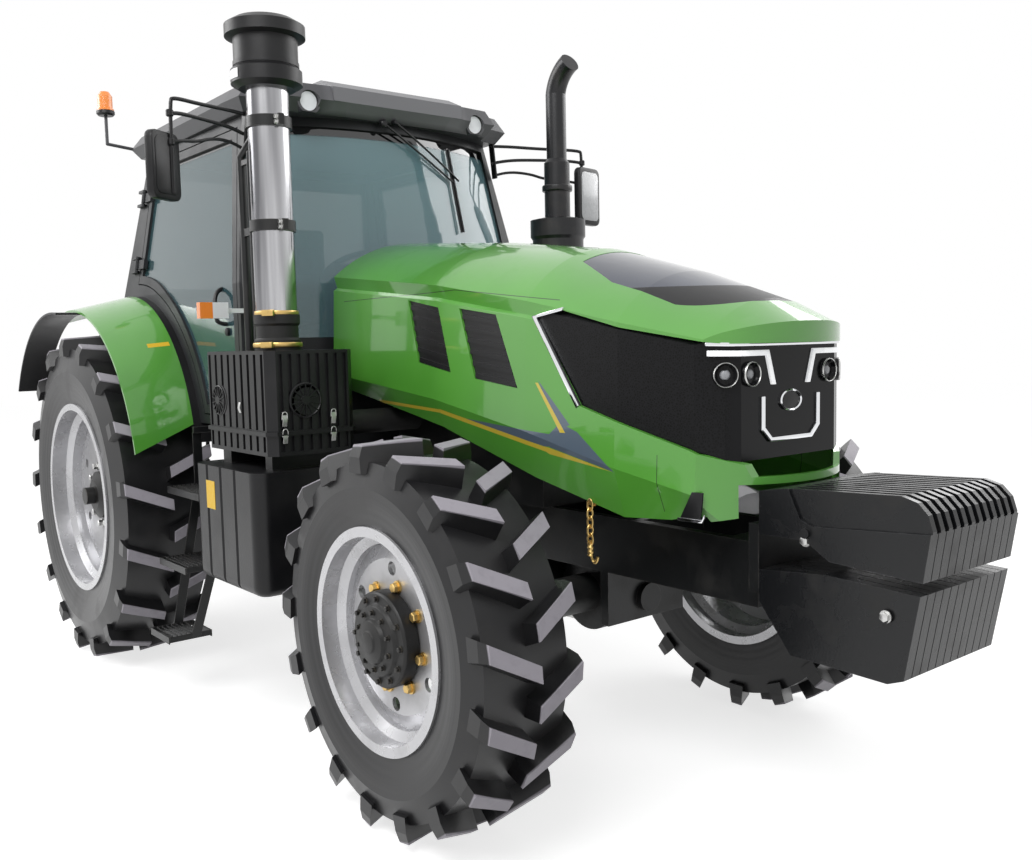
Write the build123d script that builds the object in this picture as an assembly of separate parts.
"""Four-wheel-drive farm tractor: one solid per piece, millimetres, +X forward, +Y left, +Z up.

Pieces are placed from the rear axle line (X = 0) and the ground (Z = 0). On export everything
is shifted along X, so that the origin lies on the ground under the middle of the tractor.
"""
from build123d import *
from math import atan2, cos, radians, sin, sqrt
import os

# ---------------------------------------------------------------- driving sizes
FRONT_END = 4355              # nose of the front weights
REAR_END = -1060              # rear end of the lower links
ORIGIN_SHIFT = -(FRONT_END + REAR_END) / 2

RUNNING = 0.05                # radial clearance of a pin in its bore
SEAT = 0.3                    # gap between a piece and a curved seat
MOVING = 6                    # gap round a piece that moves

WHEELBASE = 2856

# wheels: tip radius over the lugs, rim flange radius, half widths and the wheel's middle plane
FRONT_TIP_R = 675
FRONT_FLANGE_R = 385
FRONT_TYRE_HALF = 187
FRONT_RIM_HALF = 172
FRONT_WHEEL_Y = 920
REAR_TIP_R = 872
REAR_FLANGE_R = 506
REAR_TYRE_HALF = 234
REAR_RIM_HALF = 212
REAR_WHEEL_Y = 1008
LUG_PAIRS = 17
LUG_HEIGHT = 66
LUG_WIDTH = 50
LUG_CROWN = 16                # how far the tread drops at the shoulder
LUG_FOOT = 13                 # how much wider a bar's foot is, each side
LUG_HEEL = 12
LUG_PLAN = ((1.0, -50), (0.0, 50))   # share of the half width, run along the tread
RIM_WALL = 9
FLANGE_HEIGHT = 26
FRONT_HUB_R = 118
REAR_HUB_R = 128
FRONT_DISC_Y = 1000           # wheel discs, middle plane
REAR_DISC_Y = 1075
DISC_WALL = 14
HAND_HOLES = 6
HAND_HOLE_R = 24

# front axle and steering
KINGPIN_Y = 790
KINGPIN_R = 24
SPINDLE_R = 40
EAR_R = 54
EAR_GAP = 100                 # half the gap between the yoke's two ears
EAR_WALL = 30
AXLE_TUBE_R = 74
TRUNNION_R = 55
DIFF_R = 150
STEER_ARM = 200               # kingpin to tie rod, along X
TIE_ROD_R = 15
ARM_DROP = 135                # top of the steering arm under the axle line

# chassis
FRAME_HALF = 205
FRAME_WALL = 38
FRAME_Z = (800, 1010)
FRAME_X = (1900, 3650)
ENGINE_X = (1760, 2780)
GEARBOX_X = (-60, 1760)
GEARBOX_TOP = 1130
REAR_TUBE_R = 105
AXLE_SHAFT_R = 62
AXLE_SHAFT_START = 620

# hood: one row for each section
HOOD_REAR = 1560
HOOD_WALL = 16
HOOD_SECTIONS = (
    # x, half width at the waistline, bottom z, waistline z, crease z, crown z, depth of the groove under the crease
    (HOOD_REAR, 486, 1452, 1531, 1973, 2147, 18),
    (2350, 470, 1318, 1436, 1893, 2080, 18),
    (2900, 452, 1162, 1334, 1806, 2010, 12),
    (3330, 424, 1062, 1232, 1718, 1897, 4),
    (3660, 372, 1080, 1160, 1654, 1788, 0),
    (3860, 320, 1118, 1140, 1630, 1690, 0),
)
HOOD_TUCK = 48                # how far the side leans in below the waistline
HOOD_LEAN = 16                # and above it
VENT_RECESS = 9
HOOD_VENTS = (
    # x, z of the side openings' corners
    ((2165, 1840), (2374, 1803), (2458, 1544), (2241, 1583)),
    ((2510, 1794), (2731, 1763), (2858, 1490), (2609, 1522)),
)
VENT_SLATS = 6
TOP_PANEL = ((2968, 215), (3185, 279), (3477, 279))   # x, y of its left edge
TOP_PANEL_FRONT = 3685
HOOD_NOSE = 3822              # front lip, at the middle
HOOD_NOSE_CORNER = (3700, 305)
MASK_FRONT = 3722             # flat front of the grille mask
MASK_INSET = 24               # its sides, behind the hood's
WEIGHT_NOTCH_HALF = 272       # cut-out over the front weights
WEIGHT_NOTCH_Z = 1198
MASK_PLAN = ((2900, 560), (3360, 432), (3610, 362), (3698, 300), (MASK_FRONT, 250))
MASK_OUTLINE = (
    # x, z of the mask's edge seen from the side
    (3066, 1770), (2950, 1748), (3165, 1437), (3360, 1380), (3610, 1309), (3740, 1262),
    (3752, 1222), (3950, 1222), (3950, 1640), (3700, 1640), (3340, 1700),
)
HOOD_HINGE = (1592, 2048)     # x, z
HOOD_HINGE_Y = 220
FIREWALL_X = (1506, 1540)
HOOD_HINGE_R = 12

# cab: plan corners at the waist and at the eaves
FLOOR_Z = 1290
CAB_MOUNT_X = (250, 1300)
WAIST_Z = 1954
EAVES_Z = 2742
CAB_WALL = 46
WAIST = dict(rear=-240, rear_mid=-285, front=1340, front_mid=1500, half=830)
EAVES = dict(rear=-52, rear_mid=-92, front=1172, front_mid=1372, half=708)
GLASS_DEPTH = 14
GLASS_WALL = 6
ARCH_CENTRE = (-50, 1070)     # the fender's inner edge, x and z
ARCH_R = 885
ARCH_OUTER_CENTRE = (-50, 935)
ARCH_OUTER_R = 945
SILL_R = 955                  # lower edge of the door
FENDER_Y = (868, 1180)
FENDER_WALL = 12
FENDER_ANGLES = (14, 112)     # front and rear end, from straight ahead
INNER_ARCH_Y = 700
ARCH_WALL = 12
DOOR_REAR = -14
DOOR_FRONT = 1306
DOOR_TOP = 2688
DOOR_RAKE = 170               # how far the front edge leans back above the waist
DOOR_WALL = 36
DOOR_RAIL = 44
DOOR_HINGE_X = -28
DOOR_HINGE_OUT = 16
DOOR_HINGE_Z = (2130, 2500)
DOOR_PIN_R = 6
DOOR_EYE_R = 12
ROOF_TOP = 2912

# intake and exhaust
STACK_X = 1850
STACK_Y = -900
STACK_R = 84
GUARD_X = (1575, 1668)
GUARD_R = 18
STRAP_Z = (2150, 2562)
AIR_BOX = dict(x=(1420, 2045), y=(-1042, -652), z=(1226, 1645))
BOX_FLANGE = 8
BOX_SPLIT = 1316              # joint between the housing and its lower half
BOX_FRONT_RIBS = 8
BOX_SIDE_RIBS = 9
BOX_RIB_DEPTH = 12
BOX_COVER_R = 66
BOX_COVER_X = 1575
BOX_COVER_Y = -880
BOX_COVER_Z = 1440
TANK = dict(x=(1412, 2040), y=(-1112, -470), z=(662, 1165))
TANK_ROUND = 60
TANK_GROOVES = (1560, 1700, 1840)
FILLER_R = 30
FILLER_IN = 250               # from the tank's outer face
EXHAUST_X = 1850
EXHAUST_Y = 655

# steps under the doors
STEP_X = (960, 1380)
STEP_BACK = 860               # inner edge of the treads and the hangers, from the middle
STEP_WALL = 22
STEP_ANCHOR_Y = 500           # inner end of the plate under the floor
STEP_CROSS = 40               # its depth
STEP_LIP = 20
TREAD_WALL = 24
STEP_TREADS = ((340, 1190), (675, 1130), (1010, 1075))   # z of each tread's underside and its outer edge

# front weights
WEIGHT_COUNT = 12
WEIGHT_PITCH = 42
WEIGHT_WALL = 38
WEIGHT_BACK = 3790
WEIGHT_RELIEF = 9             # each side of a plate's rounded nose
WEIGHT_BOLT_R = 15

# rear hitch
LINK_PIVOT = (-160, 560)
LINK_Y = 300
LINK_R = 18
LINK_TAIL_Y = 400
LINK_DROP = 40
BALL_R = 32
BALL_WIDTH = 45
BALL_BORE_R = 14.35           # ball eye for a 28 mm pin
LIFT_PIVOT = (-190, 1150)
LIFT_SHAFT_R = 30
LIFT_ARM = 270
LIFT_DROP = 4                 # arms below level at rest, degrees
LIFT_PIN_R = 12
ROD_AT = 430                  # from the link's pivot to its lift rod
DRAWBAR_X = -700
DRAWBAR_PIN_R = 16
TOP_PIN_R = 12.8
HEADLAMP_Y = (138, 212)
HEADLAMP_Z = 1542
HEADLAMP_R = 30
STRIP_Y = (246, 128, 96)      # light strip: outer end, corner and foot
STRIP_Z = 1610
PTO_R = 17.5
PTO_STUB = (-440, -364)
PTO_SHAFT_R = 24
PTO_SPLINES = 6
PTO_GROOVE = 3.6
PTO_Z = 760
MIRROR_X = (1440, 1484)
MIRROR_Y = (-1350, -1135)
MIRROR_Z = (2290, 2650)
MIRROR_ARM_R = 10
MIRROR_FOOT_X = (1214, 1240)
ROOF_LAMP_X = 1300
ROOF_LAMP_Y = 480
ROOF_LAMP_Z = 2792
ROOF_LAMP_R = 46
ROOF_RIDGE = 370              # half width of the roof's raised middle


# ---------------------------------------------------------------- helpers
def block(x, y, z):
    """Box between pairs of limits."""
    size = (x[1] - x[0], y[1] - y[0], z[1] - z[0])
    middle = ((x[0] + x[1]) / 2, (y[0] + y[1]) / 2, (z[0] + z[1]) / 2)
    return Pos(*middle) * Box(*size)


def rod_x(radius, x, y, z):
    return Pos((x[0] + x[1]) / 2, y, z) * Rot(0, 90, 0) * Cylinder(radius, x[1] - x[0])


def rod_y(radius, x, y, z):
    return Pos(x, (y[0] + y[1]) / 2, z) * Rot(90, 0, 0) * Cylinder(radius, y[1] - y[0])


def rod_z(radius, x, y, z):
    return Pos(x, y, (z[0] + z[1]) / 2) * Cylinder(radius, z[1] - z[0])


def bar(radius, start, end):
    """Round bar between two points."""
    a = Vector(*start)
    b = Vector(*end)
    return Plane(origin=a, z_dir=b - a) * Pos(0, 0, (b - a).length / 2) * Cylinder(radius, (b - a).length)


def side_plate(outline, y):
    """Plate with an outline in x and z, between two y limits."""
    return swept_y(make_face(Polyline(*[(x, 0, z) for x, z in outline], close=True)), y)


def swept_y(face, y):
    """A face in x and z swept across from one y to another."""
    flat = face.face()
    if flat.normal_at().Y < 0:
        flat = -flat
    return Pos(0, y[0], 0) * extrude(flat, amount=y[1] - y[0], dir=(0, 1, 0))


def end_plate(outline, x):
    """Plate with an outline in y and z, between two x limits."""
    flat = make_face(Polyline(*[(0, y, z) for y, z in outline], close=True)).face()
    if flat.normal_at().X < 0:
        flat = -flat
    return Pos(x[0], 0, 0) * extrude(flat, amount=x[1] - x[0], dir=(1, 0, 0))


def turned_y(outline, x, z):
    """Ring turned about a line along Y through x, z: the outline is (y, radius) pairs."""
    face = make_face(Polyline(*[(0, y, r) for y, r in outline], close=True))
    return Pos(x, 0, z) * revolve(face, axis=Axis((0, 0, 0), (0, 1, 0)))


def turned_x(outline, x, y, z):
    """Body turned about a line along X through y, z: the outline is (x, radius) pairs."""
    face = make_face(Polyline(*[(along, r, 0) for along, r in outline], close=True))
    return Pos(x, y, z) * revolve(face, axis=Axis((0, 0, 0), (1, 0, 0)))


def turned_z(outline, x, y):
    """Body turned about a vertical line through x, y: the outline is (radius, z) pairs."""
    face = make_face(Polyline(*[(r, 0, z) for r, z in outline], close=True))
    return Pos(x, y, 0) * revolve(face, axis=Axis((0, 0, 0), (0, 0, 1)))


def other_side(shape):
    return mirror(shape, about=Plane.XZ)


def both(shape):
    return shape + other_side(shape)


# ---------------------------------------------------------------- wheels
def lug(tip_r, half, side):
    """One bar of the tread, standing on +Z, flat on top, with its toe towards +X and its heel on the shoulder."""
    top = LUG_WIDTH / 2

    def outline(grow, z):
        near = [(run - top - grow, side * share * half, z) for share, run in LUG_PLAN]
        far = [(run + top + grow, side * share * half, z) for share, run in LUG_PLAN]
        return make_face(Polyline(*(near + far[::-1]), close=True))

    turn = radians(180 / LUG_PAIRS)
    reach = top + max(run for share, run in LUG_PLAN)
    crest = min(tip_r, (tip_r - reach * sin(turn)) / cos(turn))   # the next bar's corner reaches the ground too
    shoulder = crest - LUG_CROWN
    body = loft([outline(LUG_FOOT, tip_r - LUG_HEIGHT - 46), outline(0, tip_r + 12)], ruled=True)
    crown = end_plate([(-half, 0), (-half, shoulder - 40), (LUG_HEEL - half, shoulder), (0, crest),
                       (half - LUG_HEEL, shoulder), (half, shoulder - 40), (half, 0)], (-2 * half, 2 * half))
    return body & crown


def tyre(tip_r, flange_r, half, rim_half):
    """Carcass and two staggered rows of bars, with the wheel's axis on Y."""
    base = tip_r - LUG_HEIGHT
    seat = flange_r - FLANGE_HEIGHT + SEAT
    bead = rim_half - RIM_WALL - SEAT
    side = [(bead, seat), (bead, flange_r + 2), (half * 0.96, (flange_r + base) / 2 - 25),
            (half * 0.985, (flange_r + base) / 2 + 20), (half * 0.86, base - 8)]
    outline = side + [(-y, r) for y, r in side[::-1]]
    carcass = turned_y(outline, 0, 0)
    step = 360 / LUG_PAIRS
    right = lug(tip_r, half, -1)
    left = lug(tip_r, half, 1)
    bars = []
    for k in range(LUG_PAIRS):
        bars.append(Rot(0, 180 + k * step, 0) * right)
        bars.append(Rot(0, 180 + (k + 0.5) * step, 0) * left)
    return carcass.fuse(*bars)


def rim(flange_r, rim_half, disc_y, wheel_y, hub_r):
    """Drop-centre rim with its disc, wheel's middle plane at y = 0."""
    seat = flange_r - FLANGE_HEIGHT
    well = seat - 32
    outer = [(-rim_half, flange_r), (-rim_half + RIM_WALL, flange_r), (-rim_half + RIM_WALL, seat),
             (-rim_half * 0.62, seat), (-rim_half * 0.5, well), (rim_half * 0.5, well),
             (rim_half * 0.62, seat), (rim_half - RIM_WALL, seat), (rim_half - RIM_WALL, flange_r),
             (rim_half, flange_r)]
    inner = [(rim_half, seat - RIM_WALL), (rim_half * 0.62 + 4, seat - RIM_WALL),
             (rim_half * 0.5 + 4, well - RIM_WALL), (-rim_half * 0.5 - 4, well - RIM_WALL),
             (-rim_half * 0.62 - 4, seat - RIM_WALL), (-rim_half, seat - RIM_WALL)]
    barrel = turned_y(outer + inner, 0, 0)
    middle = disc_y - wheel_y
    disc = [(middle - DISC_WALL / 2, hub_r), (middle + DISC_WALL / 2, hub_r),
            (middle + DISC_WALL / 2, well - 60), (middle - 20 + DISC_WALL / 2, well - RIM_WALL + 1),
            (middle - 20 - DISC_WALL / 2, well - RIM_WALL + 1), (middle - DISC_WALL / 2, well - 60)]
    body = barrel + turned_y(disc, 0, 0)
    at = (hub_r + well) / 2 + 12
    for k in range(HAND_HOLES):
        body -= Rot(0, k * 360 / HAND_HOLES, 0) * rod_y(HAND_HOLE_R, 0, (middle - 40, middle + 40), at)
    return body


def front_hub():
    """Planetary hub: drum, flange against the disc and end cap; y from the tractor's middle."""
    face_y = FRONT_DISC_Y - DISC_WALL / 2
    drum_start = KINGPIN_Y + 100
    spindle = rod_y(SPINDLE_R + RUNNING, WHEELBASE, (drum_start - 5, drum_start + 65), FRONT_TIP_R)
    outline = [(drum_start, 0), (drum_start, FRONT_HUB_R - 4), (face_y - 16, FRONT_HUB_R - 4),
               (face_y - 16, 168), (face_y, 168), (face_y, FRONT_HUB_R - SEAT),
               (face_y + 50, FRONT_HUB_R - SEAT), (face_y + 60, 96), (face_y + 66, 60), (face_y + 66, 0)]
    return turned_y(outline, WHEELBASE, FRONT_TIP_R) - spindle


def rear_hub():
    """Cast hub on the bar axle, with the shaft's end standing out."""
    face_y = REAR_DISC_Y - DISC_WALL / 2
    outline = [(AXLE_SHAFT_START, 0), (AXLE_SHAFT_START, AXLE_SHAFT_R), (face_y - 60, AXLE_SHAFT_R), (face_y - 20, REAR_HUB_R - 20),
               (face_y - 20, 190), (face_y, 190), (face_y, REAR_HUB_R - SEAT),
               (face_y + 40, REAR_HUB_R - SEAT), (face_y + 62, 80), (face_y + 62, 46),
               (face_y + 110, 46), (face_y + 110, 0)]
    return turned_y(outline, 0, REAR_TIP_R)


# ---------------------------------------------------------------- front axle
def front_axle():
    """Beam with its trunnions, diff housing and a yoke at each end."""
    z = FRONT_TIP_R
    yoke_in = KINGPIN_Y - 108
    beam = rod_y(AXLE_TUBE_R, WHEELBASE, (-yoke_in, yoke_in), z)
    beam += rod_x(TRUNNION_R, (WHEELBASE - 235, WHEELBASE + 235), 0, z)
    beam += rod_y(DIFF_R, WHEELBASE, (-110, 110), z)
    for s in (-1, 1):
        plate = block((WHEELBASE - 92, WHEELBASE + 92), sorted((s * yoke_in, s * (yoke_in + 26))),
                      (z - EAR_GAP - EAR_WALL, z + EAR_GAP + EAR_WALL))
        beam += plate
        for up in (-1, 1):
            level = sorted((z + up * EAR_GAP, z + up * (EAR_GAP + EAR_WALL)))
            ear = rod_z(EAR_R, WHEELBASE, s * KINGPIN_Y, level)
            ear += block((WHEELBASE - EAR_R, WHEELBASE + EAR_R), sorted((s * yoke_in, s * KINGPIN_Y)), level)
            beam += ear
        beam -= rod_z(KINGPIN_R + RUNNING, WHEELBASE, s * KINGPIN_Y, (z - 200, z + 200))
    return beam


def knuckle():
    """Right-hand swivel: barrel with its pins, spindle flange and steering arm."""
    z = FRONT_TIP_R
    y = -KINGPIN_Y
    body = rod_z(58, WHEELBASE, y, (z - EAR_GAP + 1, z + EAR_GAP - 1))
    body += rod_z(KINGPIN_R, WHEELBASE, y, (z - ARM_DROP - 20, z + EAR_GAP + EAR_WALL + 6))
    body += rod_y(56, WHEELBASE, (y - 62, y), z)
    body += rod_y(108, WHEELBASE, (y - 92, y - 60), z) + rod_y(SPINDLE_R, WHEELBASE, (y - 160, y - 90), z)
    arm = block((WHEELBASE - STEER_ARM - 26, WHEELBASE + 30), (y - 26, y + 26),
                (z - ARM_DROP - 20, z - ARM_DROP))
    return body + arm


def steering_cylinder():
    """Two-rod cylinder behind the beam; its rods end on top of the steering arms."""
    z = FRONT_TIP_R - ARM_DROP + 0.5 + TIE_ROD_R
    x = WHEELBASE - STEER_ARM
    body = rod_y(TIE_ROD_R, x, (-KINGPIN_Y - 14, KINGPIN_Y + 14), z) + rod_y(32, x, (-250, 250), z)
    for s in (-1, 1):
        body += block((x, WHEELBASE - 40), sorted((s * 60, s * 90)), (z - 16, z + 16))
    return body - rod_y(DIFF_R + SEAT, WHEELBASE, (-120, 120), FRONT_TIP_R)


# ---------------------------------------------------------------- chassis
def front_frame():
    """Two rails with cross members and the axle's trunnion brackets."""
    rails = both(block(FRAME_X, (FRAME_HALF - FRAME_WALL, FRAME_HALF), FRAME_Z))
    inner = FRAME_HALF - FRAME_WALL
    body = rails
    for x in (FRAME_X[1] - 30, 3180):
        body += block((x, x + 30), (-inner, inner), FRAME_Z)
    for s in (-1, 1):
        x = sorted((WHEELBASE + s * 172, WHEELBASE + s * 212))
        bracket = block(x, (-FRAME_HALF, FRAME_HALF), (FRONT_TIP_R - 80, FRAME_Z[0]))
        body += bracket - rod_x(TRUNNION_R + RUNNING, (x[0] - 5, x[1] + 5), 0, FRONT_TIP_R)
    return body


def engine():
    low = block((ENGINE_X[0], 2600), (-160, 160), (FRAME_Z[0] - 90, FRAME_Z[1] + 6))
    top = block(ENGINE_X, (-265, 265), (FRAME_Z[1] + 6, 1560))
    return low + top


def gearbox():
    body = block(GEARBOX_X, (-215, 215), (690, GEARBOX_TOP))
    body += block((300, 1500), (-150, 150), (600, 690))
    return body


def rear_axle():
    z = REAR_TIP_R
    body = block((-330, -60), (-235, 235), (620, 1190))
    body -= rod_y(LIFT_SHAFT_R + RUNNING, LIFT_PIVOT[0], (-240, 240), LIFT_PIVOT[1])
    body -= rod_x(PTO_SHAFT_R + RUNNING, (-340, -250), 0, PTO_Z)
    for s in (-1, 1):
        y = sorted((s * 235, s * 740))
        tube = rod_y(REAR_TUBE_R, 0, y, z)
        body += tube - rod_y(AXLE_SHAFT_R + RUNNING, 0, sorted((s * (AXLE_SHAFT_START - 10), s * 760)), z)
        body += rod_y(REAR_TUBE_R + 45, 0, sorted((s * 215, s * 300)), z)
    return body


def weight_bracket():
    body = block((FRAME_X[1], 3752), (-FRAME_HALF, FRAME_HALF), (FRAME_Z[0], FRAME_Z[1]))
    body += block((3752, WEIGHT_BACK), (-252, 252), (862, 1080))
    return body


def weights(outline, bolt, relief=None):
    """Row of plates on its cross bolt; relief is the outline where each plate is thinner."""
    x, z = bolt
    first = -WEIGHT_PITCH * (WEIGHT_COUNT - 1) / 2
    half = WEIGHT_WALL / 2
    row = rod_y(WEIGHT_BOLT_R, x, (first - half - 12, -first + half + 12), z)
    for k in range(WEIGHT_COUNT):
        y = first + k * WEIGHT_PITCH
        plate = side_plate(outline, (y - half, y + half))
        if relief:
            for side in (-1, 1):
                plate -= side_plate(relief, sorted((y + side * (half - WEIGHT_RELIEF), y + side * (half + 1))))
        row += plate
    return row


UPPER_WEIGHT = ((WEIGHT_BACK, 1185), (3880, 1201), (4262, 1217), (4310, 1203), (4341, 1172), (FRONT_END, 1128),
                (FRONT_END - 22, 986), (4040, 1000), (3960, 1050), (WEIGHT_BACK, 1050))
WEIGHT_NOSE = ((3885, 1230), (3940, 1113), (3985, 1097), (FRONT_END + 5, 1122), (FRONT_END + 5, 1230))
LOWER_WEIGHT = ((WEIGHT_BACK, 938), (4030, 960), (4326, 948), (4280, 702), (4230, 682), (3906, 690),
                (WEIGHT_BACK, 838))


def fuel_tank():
    """Moulded tank with rounded edges, upright grooves and a filler neck on top."""
    body = block(TANK["x"], TANK["y"], TANK["z"])
    body = fillet(body.edges().filter_by(Axis.Z), TANK_ROUND)
    body = fillet(body.faces().sort_by(Axis.Z)[0].edges(), TANK_ROUND * 0.7)
    y, z = TANK["y"][0], TANK["z"]
    for x in TANK_GROOVES:
        body -= Pos(x, y - 16, (z[0] + z[1]) / 2) * Rot(0, 0, 45) * Box(40, 40, z[1] - z[0] + 10)
    body += rod_z(FILLER_R, TANK["x"][0] + 36, y + FILLER_IN, (z[1] - 1, z[1] + 34))
    return body


def tank_brackets():
    """Straps that carry the tank and the air cleaner from the gearbox and the frame."""
    body = block((1480, 1560), (-470, -215), (960, 1020))
    body += block((1480, 1560), (-1000, -470), (TANK["z"][1], AIR_BOX["z"][0]))
    body += block((1900, 1960), (-1000, -470), (TANK["z"][1], AIR_BOX["z"][0]))
    body += block((1900, 1960), (-470, -FRAME_HALF), (960, 1010))
    body += block((1480, 1560), (-470, -440), (960, AIR_BOX["z"][0]))
    body += block((1900, 1960), (-470, -440), (960, AIR_BOX["z"][0]))
    return body


def battery_box():
    body = block((1440, 2020), (540, 1040), (760, 1160))
    body += block((1500, 1580), (215, 540), (960, 1020))
    body += block((1900, 1960), (FRAME_HALF, 540), (940, 1000))
    return body


def steps():
    """Three treads under each door, each further out than the one above, between two raked hangers."""
    low, high = STEP_X
    foot, foot_out = STEP_TREADS[0]
    top, top_out = STEP_TREADS[-1]
    hanger = [(STEP_BACK, foot - STEP_LIP), (foot_out, foot - STEP_LIP), (foot_out, foot + 2 * STEP_LIP),
              (top_out, top + 2 * STEP_LIP), (top_out, FLOOR_Z), (STEP_BACK, FLOOR_Z)]
    body = block(STEP_X, (STEP_ANCHOR_Y, top_out), (FLOOR_Z - STEP_CROSS, FLOOR_Z))
    for x in (low, high - STEP_WALL):
        body += end_plate(hanger, (x, x + STEP_WALL))
    for z, out in STEP_TREADS:
        body += block(STEP_X, (STEP_BACK, out), (z, z + TREAD_WALL))
    return both(body)


def air_box():
    """Ribbed air cleaner housing: upright ribs round its front and side, a split line and two round covers."""
    x, y, z = AIR_BOX["x"], AIR_BOX["y"], AIR_BOX["z"]
    body = chamfer(block(x, y, z).edges().filter_by(Axis.Z), 34)
    cuts = []
    for low, high in ((z[0] + 16, BOX_SPLIT - 12), (BOX_SPLIT + 12, z[1] - 14)):
        for k in range(BOX_FRONT_RIBS):
            at = y[0] + 52 + k * (y[1] - y[0] - 104) / (BOX_FRONT_RIBS - 1)
            cuts.append(block((x[1] - BOX_RIB_DEPTH, x[1] + 1), (at - 9, at + 9), (low, high)))
        for k in range(BOX_SIDE_RIBS):
            at = x[0] + 56 + k * (x[1] - x[0] - 112) / (BOX_SIDE_RIBS - 1)
            cuts.append(block((at - 11, at + 11), (y[0] - 1, y[0] + BOX_RIB_DEPTH), (low, high)))
    for at in (y[0] + 60, (y[0] + y[1]) / 2, y[1] - 60):
        cuts.append(block((x[0] + 30, x[1] - 30), (at - 14, at + 14), (z[1] - 10, z[1] + 1)))
    body -= cuts
    body += rod_x(BOX_COVER_R, (x[1] - BOX_RIB_DEPTH - 1, x[1] + 2), BOX_COVER_Y, BOX_COVER_Z)
    body += rod_y(BOX_COVER_R, BOX_COVER_X, (y[0] - 2, y[0] + BOX_RIB_DEPTH + 1), BOX_COVER_Z)
    body -= rod_x(BOX_COVER_R - 10, (x[1] - 3, x[1] + 3), BOX_COVER_Y, BOX_COVER_Z)
    body -= rod_y(BOX_COVER_R - 10, BOX_COVER_X, (y[0] - 3, y[0] + 3), BOX_COVER_Z)
    rim_x, rim_y, rim_z = [(low - BOX_FLANGE, high + BOX_FLANGE) for low, high in (x, y, (BOX_SPLIT, BOX_SPLIT))]
    flange = chamfer(block(rim_x, rim_y, rim_z).edges().filter_by(Axis.Z), 34)
    return body + flange


def intake_duct():
    body = rod_y(52, 1900, (AIR_BOX["y"][1] + BOX_FLANGE, -265), 1330)
    return body


def intake_hose():
    z = AIR_BOX["z"][1]
    return turned_z([(0, z), (94, z), (94, z + 42), (86, z + 52), (86, z + 100), (94, z + 110), (94, z + 146),
                     (0, z + 146)], STACK_X, STACK_Y)


def intake_pipe():
    z = AIR_BOX["z"][1] + 146
    return rod_z(STACK_R, STACK_X, STACK_Y, (z, 2694))


def pre_cleaner():
    z = 2694
    return turned_z([(0, z), (112, z), (142, z + 18), (142, z + 72), (128, z + 84), (128, z + 196),
                     (160, z + 204), (160, z + 248), (120, z + 272), (0, z + 276)], STACK_X, STACK_Y)


def stack_guard():
    """Support tubes beside the intake pipe, bent over to a strap round it, with a second strap lower down."""
    body = None
    low, high = STRAP_Z
    for x in GUARD_X:
        tube = rod_z(GUARD_R, x, STACK_Y, (AIR_BOX["z"][1], high - 90)) + Pos(x, STACK_Y, high - 90) * Sphere(GUARD_R)
        body = tube if body is None else body + tube
    body += bar(GUARD_R, (GUARD_X[0], STACK_Y, high - 90), (STACK_X - STACK_R - 6, STACK_Y, high))
    for z in STRAP_Z:
        strap = rod_z(STACK_R + 9, STACK_X, STACK_Y, (z - 22, z + 22))
        strap += block((STACK_X + STACK_R, STACK_X + STACK_R + 34), (STACK_Y - 12, STACK_Y + 12), (z - 22, z + 22))
        body += strap
    body += block((GUARD_X[0], STACK_X - STACK_R - 4), (STACK_Y - 10, STACK_Y + 10), (low - 16, low + 16))
    body += block((GUARD_X[0], GUARD_X[1]), (STACK_Y - 10, STACK_Y + 10), (high - 130, high - 110))
    return body - rod_z(STACK_R + SEAT, STACK_X, STACK_Y, (low - 60, high + 60))


def exhaust_body():
    """Shielded silencer beside the hood, on a bracket from the engine under the hood's edge."""
    low = 1330
    body = turned_z([(0, low), (112, low), (128, low + 30), (128, 2165), (138, 2180), (138, 2262), (80, 2275),
                     (0, 2275)], EXHAUST_X, EXHAUST_Y)
    body += block((EXHAUST_X - 50, EXHAUST_X + 50), (265, EXHAUST_Y - 60), (low, low + 26))
    return body


def exhaust_pipe():
    z = 2275
    body = turned_z([(0, z), (64, z), (64, z + 270), (50, z + 290), (50, 2880), (0, 2880)], EXHAUST_X,
                    EXHAUST_Y)
    path = ThreePointArc((0, 0, 2880), (38, 0, 2962), (110, 0, 3015))
    tip = sweep(Plane((0, 0, 2880)) * Circle(50), path=path)
    return body + Pos(EXHAUST_X, EXHAUST_Y, 0) * tip


# ---------------------------------------------------------------- hood
def hood_face(row, inset, plain):
    """Cross-section of the hood: tucked sides, a groove under the crease and an arched top."""
    x, half, bottom, waist, crease, crown, groove = row
    w = half - inset
    c = crease - inset
    edge = [(w, bottom), (w, c)]
    if not plain:
        edge = [(w - HOOD_TUCK, bottom), (w, waist), (w - HOOD_LEAN, c - 62), (w - HOOD_LEAN - groove, c - 50),
                (w - HOOD_LEAN - 4, c)]
    points = [(x, -y, z) for y, z in edge[::-1]] + [(x, y, z) for y, z in edge]
    arch = ThreePointArc(points[-1], (x, 0, crown - inset), points[0])
    return make_face(Polyline(*points) + arch)


def hood_plan(inset):
    """Plan of the hood, with a bowed front lip."""
    x, y = HOOD_NOSE_CORNER
    rear = HOOD_REAR - 10
    edge = Polyline((x - inset, -y + inset, 0), (3640, -372 + inset, 0), (3400, -520, 0), (rear, -520, 0),
                    (rear, 520, 0), (3400, 520, 0), (3640, 372 - inset, 0), (x - inset, y - inset, 0))
    nose = ThreePointArc((x - inset, y - inset, 0), (HOOD_NOSE - inset, 0, 0), (x - inset, -y + inset, 0))
    return extrude(make_face(edge + nose), amount=3000)


def mask_plan(inset):
    """Plan of the grille mask: a flat front with two facets at each corner."""
    half = [(x - inset, y - inset * 0.7) for x, y in MASK_PLAN]
    points = [(x, -y, 0) for x, y in half] + [(x, y, 0) for x, y in half[::-1]]
    return extrude(make_face(Polyline(*points, close=True)), amount=3000)


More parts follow.
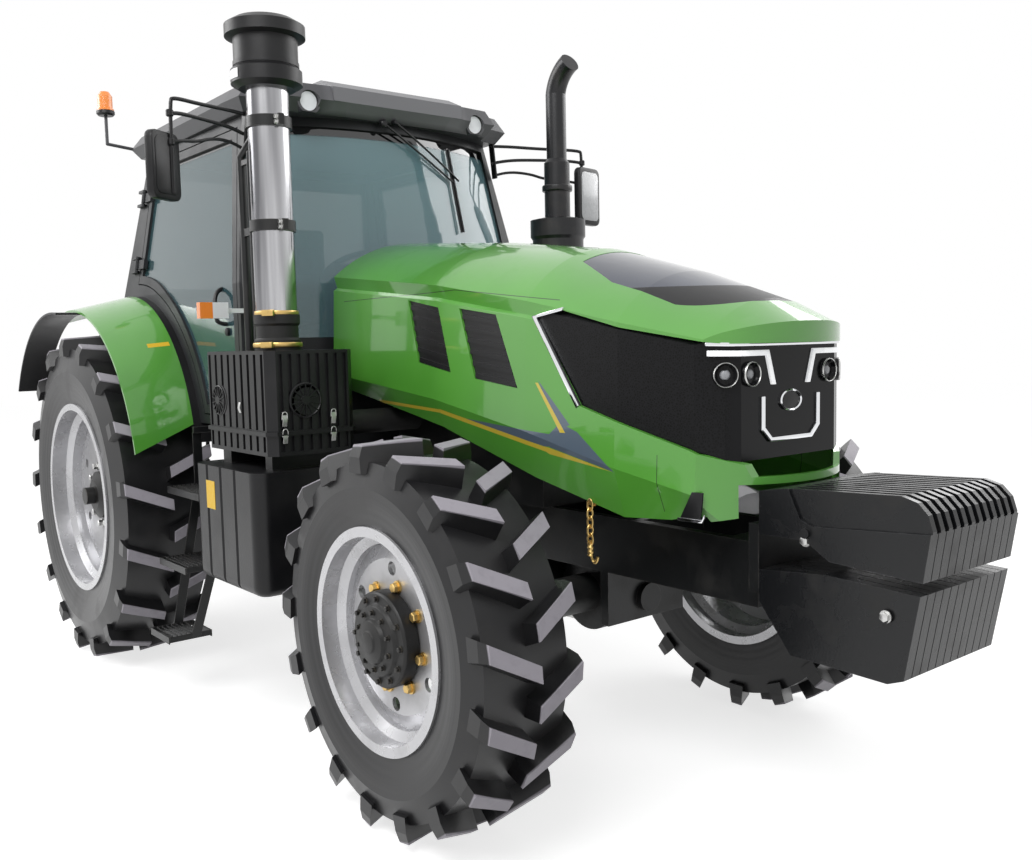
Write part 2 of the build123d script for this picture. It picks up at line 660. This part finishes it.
def hood_block(inset, drop, plain=False):
    """Hood's form without its plan: inset makes the inside, drop lowers its underside."""
    rows = [row[:2] + (row[2] - drop,) + row[3:] for row in HOOD_SECTIONS]
    return loft([hood_face(row, inset, plain) for row in rows], ruled=True)


def hood_skin(outer, inner):
    """Layer of the hood's wall, open below."""
    return (hood_block(outer, 0) & hood_plan(outer)) - (hood_block(inner, 60) & hood_plan(inner))


def vent_prism(corners, shrink):
    """One side opening, right through the right wall; shrink leaves room round its insert."""
    cx = sum(x for x, z in corners) / len(corners)
    cz = sum(z for x, z in corners) / len(corners)
    near = [(x - shrink * (1 if x > cx else -1), z - shrink * (1 if z > cz else -1)) for x, z in corners]
    return side_plate(near, (-560, -300))


def top_panel_prism(shrink):
    """Plan of the dark panel in the crown."""
    left = [(x, y - shrink, 900) for x, y in TOP_PANEL]
    left[0] = (left[0][0] + shrink, left[0][1], 900)
    right = [(x, -y, z) for x, y, z in left]
    edge = Polyline(*(right[::-1] + left))
    nose = ThreePointArc(left[-1], (TOP_PANEL_FRONT - shrink, 0, 900), right[-1])
    return extrude(make_face(edge + nose), amount=1400, dir=(0, 0, 1))


def mask_zone(inset):
    """Side view of the grille mask, right through the hood."""
    face = make_face(Polyline(*[(x, 0, z) for x, z in MASK_OUTLINE], close=True))
    if inset:
        face = offset(face, amount=-inset, kind=Kind.INTERSECTION)
    return swept_y(face, (-600, 600))


def hood():
    """Green hood with the mask's place left open and two hinge eyes under its crown."""
    body = hood_skin(0, HOOD_WALL) - mask_zone(0)
    body -= (hood_block(-5, 0) - hood_block(5, 60)) & top_panel_prism(0)
    for corners in HOOD_VENTS:
        body -= both(vent_prism(corners, 0))
    body -= block((3600, 3900), (-WEIGHT_NOTCH_HALF, WEIGHT_NOTCH_HALF), (1000, WEIGHT_NOTCH_Z))
    x, z = HOOD_HINGE
    for s in (-1, 1):
        y = sorted((s * (HOOD_HINGE_Y - 16), s * (HOOD_HINGE_Y + 16)))
        eye = rod_y(22, x, y, z) + block((x - 14, x + 22), y, (z, z + 100))
        bore = rod_y(HOOD_HINGE_R + RUNNING, x, sorted((s * (HOOD_HINGE_Y - 20), s * (HOOD_HINGE_Y + 20))), z)
        body += (eye & hood_block(4, 60)) - bore
    return body


def hood_grilles():
    """Slatted inserts of the side openings and the dark panel in the crown."""
    layer = hood_block(VENT_RECESS, 60) - hood_block(HOOD_WALL, 60)
    face = hood_block(3, 60) - hood_block(VENT_RECESS + 1, 60)
    body = ((hood_block(1.5, 60) - hood_block(5 - SEAT, 60)) & top_panel_prism(SEAT))
    for corners in HOOD_VENTS:
        a, b, c, d = corners
        slats = []
        for k in range(VENT_SLATS):
            share = (k + 0.7) / VENT_SLATS
            left = [a[i] + (d[i] - a[i]) * share for i in (0, 1)]
            right = [b[i] + (c[i] - b[i]) * share for i in (0, 1)]
            slats.append(side_plate(((left[0] + 5, left[1] + 9), (right[0] - 5, right[1] + 9),
                                     (right[0] - 5, right[1] - 9), (left[0] + 5, left[1] - 9)), (-560, -300)))
        insert = layer & vent_prism(corners, SEAT)
        for slat in slats:
            insert += face & slat
        body += both(insert)
    return body


def mask():
    inner = MASK_INSET + HOOD_WALL
    shell = (hood_block(MASK_INSET, 0, True) & mask_plan(0)) - (hood_block(inner, 60, True) & mask_plan(HOOD_WALL))
    return shell & mask_zone(SEAT)


# ---------------------------------------------------------------- cab
def cab_plan(spec, inset, z):
    """Plan outline of the cab at one height, with bowed front and rear."""
    h = spec["half"] - inset
    rear = spec["rear"] + inset
    front = spec["front"] - inset * 0.8
    left = Polyline((rear, h, z), (front, h, z))
    right = Polyline((front, -h, z), (rear, -h, z))
    nose = ThreePointArc((front, h, z), (spec["front_mid"] - inset, 0, z), (front, -h, z))
    tail = ThreePointArc((rear, -h, z), (spec["rear_mid"] + inset, 0, z), (rear, h, z))
    return make_face(Curve() + [left, nose, right, tail])


def cab_block(inset):
    """The cab's outer form, or its inside for an inset."""
    low = extrude(cab_plan(WAIST, inset, FLOOR_Z), amount=WAIST_Z - FLOOR_Z)
    high = loft([cab_plan(WAIST, inset, WAIST_Z), cab_plan(EAVES, inset, EAVES_Z)], ruled=True)
    return low + high


def cab_layer(outer, inner):
    return cab_block(outer) - cab_block(inner)


def arch_cylinder(radius, y):
    x, z = ARCH_CENTRE
    return rod_y(radius, x, y, z)


def door_outline(grow):
    """Side view of the door: upright rear edge, raked front edge and an arched sill."""
    cx, cz = ARCH_CENTRE
    r = SILL_R - grow
    low = FLOOR_Z + 50 - grow
    rear = DOOR_REAR - grow
    front = DOOR_FRONT + grow
    top = DOOR_TOP + grow
    toe = (cx + sqrt(r * r - (low - cz) ** 2), 0, low)
    heel = (rear, 0, cz + sqrt(r * r - (rear - cx) ** 2))
    middle = (atan2(toe[2] - cz, toe[0] - cx) + atan2(heel[2] - cz, heel[0] - cx)) / 2
    edge = Polyline(toe, (front, 0, low), (front, 0, WAIST_Z), (front - DOOR_RAKE, 0, top), (40 - grow, 0, top),
                    heel)
    arc = ThreePointArc(heel, (cx + r * cos(middle), 0, cz + r * sin(middle)), toe)
    return make_face(edge + arc)


def through_side(face, side):
    """Right (-1) or left (1) side of the cab, swept by an outline in x and z."""
    return swept_y(face, (-1000, -500) if side < 0 else (500, 1000))


def door_frame(side):
    ring = through_side(door_outline(0), side)
    window = through_side(door_outline(-DOOR_RAIL), side)
    return (cab_layer(0, DOOR_WALL) & (ring - window)) + door_eyes(side)


def door_glass(side):
    pane = through_side(door_outline(-DOOR_RAIL - SEAT), side)
    return cab_layer(GLASS_DEPTH, GLASS_DEPTH + GLASS_WALL) & pane


def hinge_at(side, z):
    """Frame of a door hinge: Z along the leaning hinge line, X forward, Y inboard."""
    lean = (WAIST["half"] - EAVES["half"]) / (EAVES_Z - WAIST_Z)
    y = WAIST["half"] + DOOR_HINGE_OUT - lean * (z - WAIST_Z)
    return Plane(origin=(DOOR_HINGE_X, side * y, z), x_dir=(1, 0, 0), z_dir=(0, -side * lean, 1))


def inward(side, x, y, z):
    """Box in a hinge's frame, with y counted inboard."""
    turn = -1 if side > 0 else 1
    return block(x, sorted((turn * y[0], turn * y[1])), z)


def door_eyes(side):
    """Hinge eyes that stand on the door's rear rail."""
    body = None
    for z in DOOR_HINGE_Z:
        eye = Cylinder(DOOR_EYE_R, 50) + inward(side, (0, 100), (2, DOOR_HINGE_OUT - 5), (-25, 25))
        eye += inward(side, (72, 100), (2, DOOR_HINGE_OUT + 8), (-25, 25))
        eye -= Cylinder(DOOR_PIN_R + RUNNING, 60)
        eye = hinge_at(side, z) * eye
        body = eye if body is None else body + eye
    return body


def door_pins(side):
    """Pins and lugs that carry the door, on the pillar behind it."""
    body = None
    for z in DOOR_HINGE_Z:
        pin = Cylinder(DOOR_PIN_R, 92)
        for up in (-1, 1):
            level = sorted((up * 31, up * 46))
            pin += Pos(0, 0, up * 38.5) * Cylinder(DOOR_EYE_R, 15)
            pin += inward(side, (-70, 0), (-9, DOOR_HINGE_OUT + 10), level)
        pin = hinge_at(side, z) * pin
        body = pin if body is None else body + pin
    return body


def windscreen_zone(grow):
    """Opening in front, seen from ahead."""
    face = make_face(Polyline((1000, -760 - grow, 1700 - grow), (1000, 760 + grow, 1700 - grow),
                              (1000, 668 + grow, 2700 + grow), (1000, -668 - grow, 2700 + grow), close=True))
    return extrude(face, amount=700, dir=(1, 0, 0))


def rear_window_zone(grow):
    face = make_face(Polyline((-500, -760 - grow, 2010 - grow), (-500, 760 + grow, 2010 - grow),
                              (-500, 660 + grow, 2690 + grow), (-500, -660 - grow, 2690 + grow), close=True))
    return extrude(face, amount=490, dir=(1, 0, 0))


def cab_frame():
    """Pillars, sills and lower walls, open at the doors and windows."""
    body = cab_layer(0, CAB_WALL)
    body += block((-200, 1380), (-INNER_ARCH_Y + 4, INNER_ARCH_Y - 4), (FLOOR_Z, FLOOR_Z + 30)) & cab_block(10)
    for s in (-1, 1):
        for x in CAB_MOUNT_X:
            body += rod_z(42, x, s * 160, (GEARBOX_TOP, FLOOR_Z + 10))
        body -= through_side(door_outline(MOVING), s)
        body -= arch_cylinder(ARCH_R + SEAT, sorted((s * (INNER_ARCH_Y - 2), s * 900)))
        body += door_pins(s)
    return body - windscreen_zone(0) - rear_window_zone(0)


def windscreen():
    return cab_layer(GLASS_DEPTH, GLASS_DEPTH + GLASS_WALL) & windscreen_zone(-SEAT)


def rear_window():
    return cab_layer(GLASS_DEPTH, GLASS_DEPTH + GLASS_WALL) & rear_window_zone(-SEAT)


def roof():
    """Three-level roof shell over the eaves, with a raised middle and a lamp pocket at each front corner."""
    plan = ((-300, 560), (-240, 744), (1120, 776), (1292, 772), (1330, 640), (1420, 600), (1452, 300))

    def level(z, scale_x, scale_y):
        points = [(600 + (x - 600) * scale_x, y * scale_y, z) for x, y in plan]
        mirrored = [(x, -y, z) for x, y, z in points[::-1]]
        return make_face(Polyline(*(points + mirrored), close=True))

    body = loft([level(EAVES_Z, 0.94, 0.95), level(2800, 1, 1)], ruled=True)
    body += loft([level(2800, 1, 1), level(2872, 0.97, 0.93)], ruled=True)
    body += loft([level(2872, 0.97, 0.93), level(ROOF_TOP - 14, 0.8, 0.72)], ruled=True)
    body += side_plate(((560, 2890), (700, ROOF_TOP + 14), (1330, ROOF_TOP + 4), (1440, 2868), (1452, 2800), (700, 2800)),
                       (-ROOF_RIDGE, ROOF_RIDGE))
    for s in (-1, 1):
        pocket = rod_x(ROOF_LAMP_R + 14, (ROOF_LAMP_X, ROOF_LAMP_X + 112), s * ROOF_LAMP_Y, ROOF_LAMP_Z)
        body += pocket & block((ROOF_LAMP_X, 1600), (-900, 900), (EAVES_Z, 2900))
        body -= rod_x(ROOF_LAMP_R + 2, (ROOF_LAMP_X + 40, 1600), s * ROOF_LAMP_Y, ROOF_LAMP_Z)
    return body


def arc_points(centre, radius, angles):
    """Three points of an arc in x and z."""
    x, z = centre
    spread = (angles[0], (angles[0] + angles[1]) / 2, angles[1])
    return [(x + radius * cos(radians(v)), 0, z + radius * sin(radians(v))) for v in spread]


def arc_band(centre, outer, inner, angles):
    """Face between two arcs about one centre."""
    a = arc_points(centre, outer, angles)
    b = arc_points(centre, inner, angles)
    return make_face(Curve() + [ThreePointArc(*a), Line(a[2], b[2]), ThreePointArc(*b), Line(b[0], a[0])])


def inner_arches():
    """Black wheel arches between the cab and the green fenders, each with its wall to the floor."""
    angles = (8, 138)
    band = swept_y(arc_band(ARCH_CENTRE, ARCH_R, ARCH_R - ARCH_WALL, angles), (-FENDER_Y[0], -INNER_ARCH_Y))
    arc = arc_points(ARCH_CENTRE, ARCH_R, angles)
    wall = swept_y(make_face(Curve() + [ThreePointArc(*arc), Line(arc[2], arc[0])]),
                   (-INNER_ARCH_Y - ARCH_WALL, -INNER_ARCH_Y))
    return both(band + wall)


def fender():
    """Right fender: a band between two arcs, falling outwards."""
    def arc_face(centre, radius, y):
        x, z = centre
        a, b = (radians(v) for v in FENDER_ANGLES)
        m = (a + b) / 2
        pts = []
        for r in (radius, radius - FENDER_WALL):
            pts.append([(x + r * cos(v), y, z + r * sin(v)) for v in (a, m, b)])
        outer = ThreePointArc(*pts[0])
        inner = ThreePointArc(*pts[1])
        return make_face(Curve() + [outer, Line(pts[0][2], pts[1][2]), inner, Line(pts[1][0], pts[0][0])])

    return loft([arc_face(ARCH_CENTRE, ARCH_R, -FENDER_Y[0] - SEAT),
                 arc_face(ARCH_OUTER_CENTRE, ARCH_OUTER_R, -FENDER_Y[1])], ruled=True)


def fender_extension():
    """Black flap over the tyre's outer edge, at the rear."""
    x, z = ARCH_OUTER_CENTRE
    ring = rod_y(ARCH_OUTER_R - FENDER_WALL - SEAT, x, (-1285, -1120), z)
    ring -= rod_y(ARCH_OUTER_R - FENDER_WALL - SEAT - 10, x, (-1290, -1110), z)
    zone = side_plate(((x + 60, z), (x + 120, z + 1300), (x - 700, z + 1300), (x - 900, z + 560)), (-1300, -1100))
    return both(ring & zone)


def mirrors():
    """Mirror heads on two-tube arms from the roof's front corners."""
    head = chamfer(block(MIRROR_X, MIRROR_Y, MIRROR_Z).edges().filter_by(Axis.X), 26)
    head = chamfer(head.faces().sort_by(Axis.X)[-1].edges(), 18)
    head += block(MIRROR_FOOT_X, (-732, -708), (2600, EAVES_Z))
    for up, foot in ((40, (MIRROR_FOOT_X[0] + 12, -720, EAVES_Z - 22)), (-110, (MIRROR_FOOT_X[0] + 12, -720, 2622))):
        elbow = (MIRROR_X[0] + 12, MIRROR_Y[1] - 20, MIRROR_Z[1] - 60 + up)
        head += bar(MIRROR_ARM_R, elbow, foot) + Pos(*elbow) * Sphere(MIRROR_ARM_R)
        head += bar(MIRROR_ARM_R, elbow, (elbow[0], elbow[1] - 60, MIRROR_Z[1] - 80 + up / 2))
    return both(head)


def beacon_arm():
    path = ((-235, -700, 2800), (-215, -885, 2815), (-215, -885, 2985))
    return bar(9, path[0], path[1]) + bar(9, path[1], path[2]) + Pos(*path[1]) * Sphere(9)


def beacon():
    return turned_z([(0, 2985), (46, 2985), (46, 3005), (40, 3010), (40, 3075), (24, 3100), (0, 3104)], -215, -885)


def seat():
    body = block((200, 660), (-250, 250), (1640, 1760))
    body += side_plate(((180, 1740), (290, 1740), (210, 2380), (110, 2380)), (-240, 240))
    body += block((260, 620), (-180, 180), (FLOOR_Z + 30, 1640))
    return body


def steering_wheel():
    column = bar(34, (1196, 0, FLOOR_Z + 42), (1010, 0, 2020))
    tilt = Pos(1000, 0, 2040) * Rot(0, -28, 0)
    ring = tilt * Torus(200, 16)
    hub = tilt * Cylinder(52, 40)
    spokes = tilt * Box(380, 26, 14) + tilt * Box(26, 380, 14)
    foot = rod_z(60, 1196, 0, (FLOOR_Z + 30, FLOOR_Z + 66))
    return column + ring + hub + spokes + foot


def dashboard():
    body = side_plate(((1180, 1990), (1300, 2060), (1400, 1980), (1400, FLOOR_Z + 30), (1290, FLOOR_Z + 30)),
                      (-330, 330))
    return body - bar(44, (1200, 0, FLOOR_Z + 30), (1010, 0, 2020))


# ---------------------------------------------------------------- rear hitch
def firewall():
    """Wall behind the hood, with the hood's two hinge pins."""
    half = 438
    outline = Polyline((FIREWALL_X[0], -half, GEARBOX_TOP), (FIREWALL_X[0], half, GEARBOX_TOP), (FIREWALL_X[0], half, 1890),
                       (FIREWALL_X[0], 300, 2030), (FIREWALL_X[0], -300, 2030), (FIREWALL_X[0], -half, 1890),
                       close=True)
    body = extrude(make_face(outline), amount=FIREWALL_X[1] - FIREWALL_X[0], dir=(1, 0, 0))
    x, z = HOOD_HINGE
    for s in (-1, 1):
        for gap in (-30, 30):
            y = sorted((s * (HOOD_HINGE_Y + gap - 8), s * (HOOD_HINGE_Y + gap + 8)))
            body += block((FIREWALL_X[1], x), y, (z - 40, z - 8)) + rod_y(16, x, y, z)
        body += rod_y(HOOD_HINGE_R, x, sorted((s * (HOOD_HINGE_Y - 30), s * (HOOD_HINGE_Y + 30))), z)
    return body


def lower_links():
    """Two lower links with ball eyes at both ends."""
    x, z = LINK_PIVOT
    body = None
    for s in (-1, 1):
        y = s * LINK_Y
        tail = (REAR_END + BALL_R, s * LINK_TAIL_Y, z - LINK_DROP)
        link = bar(20, (x - 20, y, z), tail)
        link -= rod_y(28, x, sorted((s * (LINK_Y - 60), s * (LINK_Y + 60))), z)
        link -= Pos(*tail) * Rot(90, 0, 0) * Cylinder(BALL_R - 6, 90)
        eye = rod_y(34, x, (y - 14, y + 14), z) - rod_y(LINK_R + RUNNING, x, (y - 20, y + 20), z)
        ball = Pos(*tail) * (Rot(90, 0, 0) * Cylinder(BALL_R, BALL_WIDTH))
        ball -= Pos(*tail) * (Rot(90, 0, 0) * Cylinder(BALL_BORE_R, BALL_WIDTH + 10))
        piece = link + eye + ball
        body = piece if body is None else body + piece
    return body


def lift_arms():
    """Rock shaft through the axle housing, with an arm at each end and a pin at each arm's tip."""
    x, z = LIFT_PIVOT
    body = rod_y(LIFT_SHAFT_R, x, (-262, 262), z)
    tip = (x - LIFT_ARM * cos(radians(LIFT_DROP)), z - LIFT_ARM * sin(radians(LIFT_DROP)))
    for s in (-1, 1):
        y = sorted((s * 241, s * 262))
        body += rod_y(50, x, y, z) + rod_y(26, tip[0], y, tip[1])
        body += side_plate(((x, z + 44), (x, z - 44), (tip[0], tip[1] - 24), (tip[0], tip[1] + 24)), y)
        body += rod_y(LIFT_PIN_R, tip[0], sorted((s * 262, s * 300)), tip[1])
    return body


def lift_rods():
    """Rods that hang from the lift arms beside the lower links; their lower eyes stay open."""
    x, z = LIFT_PIVOT
    tip = (x - LIFT_ARM * cos(radians(LIFT_DROP)), z - LIFT_ARM * sin(radians(LIFT_DROP)))
    px, pz = LINK_PIVOT
    slope = atan2(LINK_DROP, px - REAR_END - BALL_R)
    foot = (px - ROD_AT * cos(slope), pz - ROD_AT * sin(slope))
    body = None
    for s in (-1, 1):
        y = sorted((s * 270, s * 296))
        middle = s * 283
        rod = bar(12, (tip[0], middle, tip[1]), (foot[0], middle, foot[1]))
        rod += bar(19, (0.7 * tip[0] + 0.3 * foot[0], middle, 0.7 * tip[1] + 0.3 * foot[1]),
                   (0.4 * tip[0] + 0.6 * foot[0], middle, 0.4 * tip[1] + 0.6 * foot[1]))
        rod += rod_y(25, tip[0], y, tip[1]) + rod_y(25, foot[0], y, foot[1])
        rod -= rod_y(LIFT_PIN_R + RUNNING, tip[0], (s * 283 - 40, s * 283 + 40), tip[1])
        rod -= rod_y(LIFT_PIN_R + RUNNING, foot[0], (s * 283 - 40, s * 283 + 40), foot[1])
        body = rod if body is None else body + rod
    return body


def hitch_frame():
    """Bracket with the lower links' pins, the drawbar and the top link's ears."""
    x, z = LINK_PIVOT
    body = block((x - 60, x + 60), (-230, 230), (z - 50, 620))
    for s in (-1, 1):
        body += rod_y(LINK_R, x, sorted((s * 225, s * (LINK_Y + 24))), z)
    body += block((DRAWBAR_X - 45, x + 20), (-40, 40), (z - 86, z - 50))
    body -= rod_z(DRAWBAR_PIN_R, DRAWBAR_X, 0, (z - 100, z - 30))
    for s in (-1, 1):
        ear = block((-420, -330), sorted((s * 28, s * 48)), (900, 990))
        body += ear - rod_y(TOP_PIN_R, -385, sorted((s * 20, s * 60)), 945)
    return body


def pto_shaft():
    """Splined power take-off stub on a thicker shaft."""
    low, high = PTO_STUB
    shaft = rod_x(PTO_R, (low, high), 0, PTO_Z) + rod_x(PTO_SHAFT_R, (high, -250), 0, PTO_Z)
    for k in range(PTO_SPLINES):
        groove = Rot(k * 360 / PTO_SPLINES, 0, 0) * Pos(0, 0, PTO_R) * Box(high - low, PTO_GROOVE, 6)
        shaft -= Pos((low + high) / 2, 0, PTO_Z) * groove
    return shaft


# ---------------------------------------------------------------- lamps and small pieces
def roof_lamps():
    """Work lamps in the roof's front corners."""
    return both(rod_x(ROOF_LAMP_R, (ROOF_LAMP_X + 40, ROOF_LAMP_X + 104), ROOF_LAMP_Y, ROOF_LAMP_Z))


def turn_lamps():
    lamp = block((1404, 1440), (-1060, -930), (1790, 1860))
    lamp += block((1320, 1404), (-945, -WAIST["half"]), (1815, 1835))
    return both(lamp)


def headlamps():
    """Projector lamps in the mask, each pair under an L-shaped light strip."""
    body = None
    for y in HEADLAMP_Y:
        lamp = turned_x([(0, 0), (0, HEADLAMP_R), (20, HEADLAMP_R), (20, HEADLAMP_R - 7), (9, HEADLAMP_R - 12),
                         (9, 0)], MASK_FRONT, y, HEADLAMP_Z)
        body = lamp if body is None else body + lamp
    top, corner, foot = STRIP_Y
    strip = make_face(Polyline((0, top, STRIP_Z), (0, corner, STRIP_Z), (0, foot, STRIP_Z - 104),
                               (0, foot + 16, STRIP_Z - 110), (0, corner + 12, STRIP_Z - 22), (0, top, STRIP_Z - 22),
                               close=True))
    body += Pos(MASK_FRONT, 0, 0) * extrude(strip, amount=12, dir=(1, 0, 0))
    return both(body)


PIECES = {
    "front_frame": lambda: front_frame() + weight_bracket(),
    "engine": engine,
    "gearbox": gearbox,
    "rear_axle_housing": rear_axle,
    "front_axle_beam": front_axle,
    "steering_cylinder": steering_cylinder,
    "front_weights": lambda: weights(UPPER_WEIGHT, (3962, 1075), WEIGHT_NOSE) + weights(LOWER_WEIGHT, (4225, 872)),
    "fuel_tank": fuel_tank,
    "side_brackets": tank_brackets,
    "battery_box": battery_box,
    "cab_steps": steps,
    "air_cleaner_box": air_box,
    "intake_duct": intake_duct,
    "intake_hose": intake_hose,
    "intake_pipe": intake_pipe,
    "pre_cleaner": pre_cleaner,
    "stack_guard": stack_guard,
    "exhaust_silencer": exhaust_body,
    "exhaust_pipe": exhaust_pipe,
    "firewall": firewall,
    "cab_frame": cab_frame,
    "cab_roof": lambda: roof() + beacon_arm(),
    "windscreen": windscreen,
    "rear_window": rear_window,
    "wheel_arches": lambda: inner_arches() + fender_extension(),
    "fenders": lambda: both(fender()),
    "mirrors": mirrors,
    "beacon": beacon,
    "roof_lamps": roof_lamps,
    "turn_lamps": turn_lamps,
    "operator_seat": seat,
    "steering_wheel": steering_wheel,
    "dashboard": dashboard,
    "hitch_frame": hitch_frame,
    "lower_links": lower_links,
    "lift_arms": lift_arms,
    "lift_rods": lift_rods,
    "pto_shaft": pto_shaft,
    "hood": hood,
    "hood_grilles": hood_grilles,
    "grille_mask": mask,
    "headlamps": headlamps,
}


def sided(name, shape):
    """A right-hand piece and its mirror image."""
    return {name + "_right": shape, name + "_left": other_side(shape)}


def wheels():
    """Tyre, rim and hub of each wheel."""
    front = (FRONT_TIP_R, FRONT_FLANGE_R, FRONT_TYRE_HALF, FRONT_RIM_HALF)
    rear = (REAR_TIP_R, REAR_FLANGE_R, REAR_TYRE_HALF, REAR_RIM_HALF)
    out = {}
    for place, x, size, disc_y, wheel_y, hub_r, hub in (
            ("front", WHEELBASE, front, FRONT_DISC_Y, FRONT_WHEEL_Y, FRONT_HUB_R, front_hub()),
            ("rear", 0, rear, REAR_DISC_Y, REAR_WHEEL_Y, REAR_HUB_R, rear_hub())):
        seat_at = Pos(x, wheel_y, size[0])
        left = {"tyre": seat_at * tyre(*size),
                "rim": seat_at * rim(size[1], size[3], disc_y, wheel_y, hub_r),
                "hub": hub}
        for piece, shape in left.items():
            out["%s_%s_left" % (place, piece)] = shape
            out["%s_%s_right" % (place, piece)] = other_side(shape)
    return out


def build():
    out = {name: make() for name, make in PIECES.items()}
    out.update(sided("knuckle", knuckle()))
    out.update(sided("door", door_frame(-1)))
    out.update(sided("door_glass", door_glass(-1)))
    out.update(wheels())
    return out


def save(name, shape):
    solids = list(shape.solids())
    whole = solids[0] if len(solids) == 1 else Compound(children=solids)
    export_step(Pos(ORIGIN_SHIFT, 0, 0) * whole, "parts/%s.step" % name)


os.makedirs("parts", exist_ok=True)
for node, piece in build().items():
    save(node, piece)
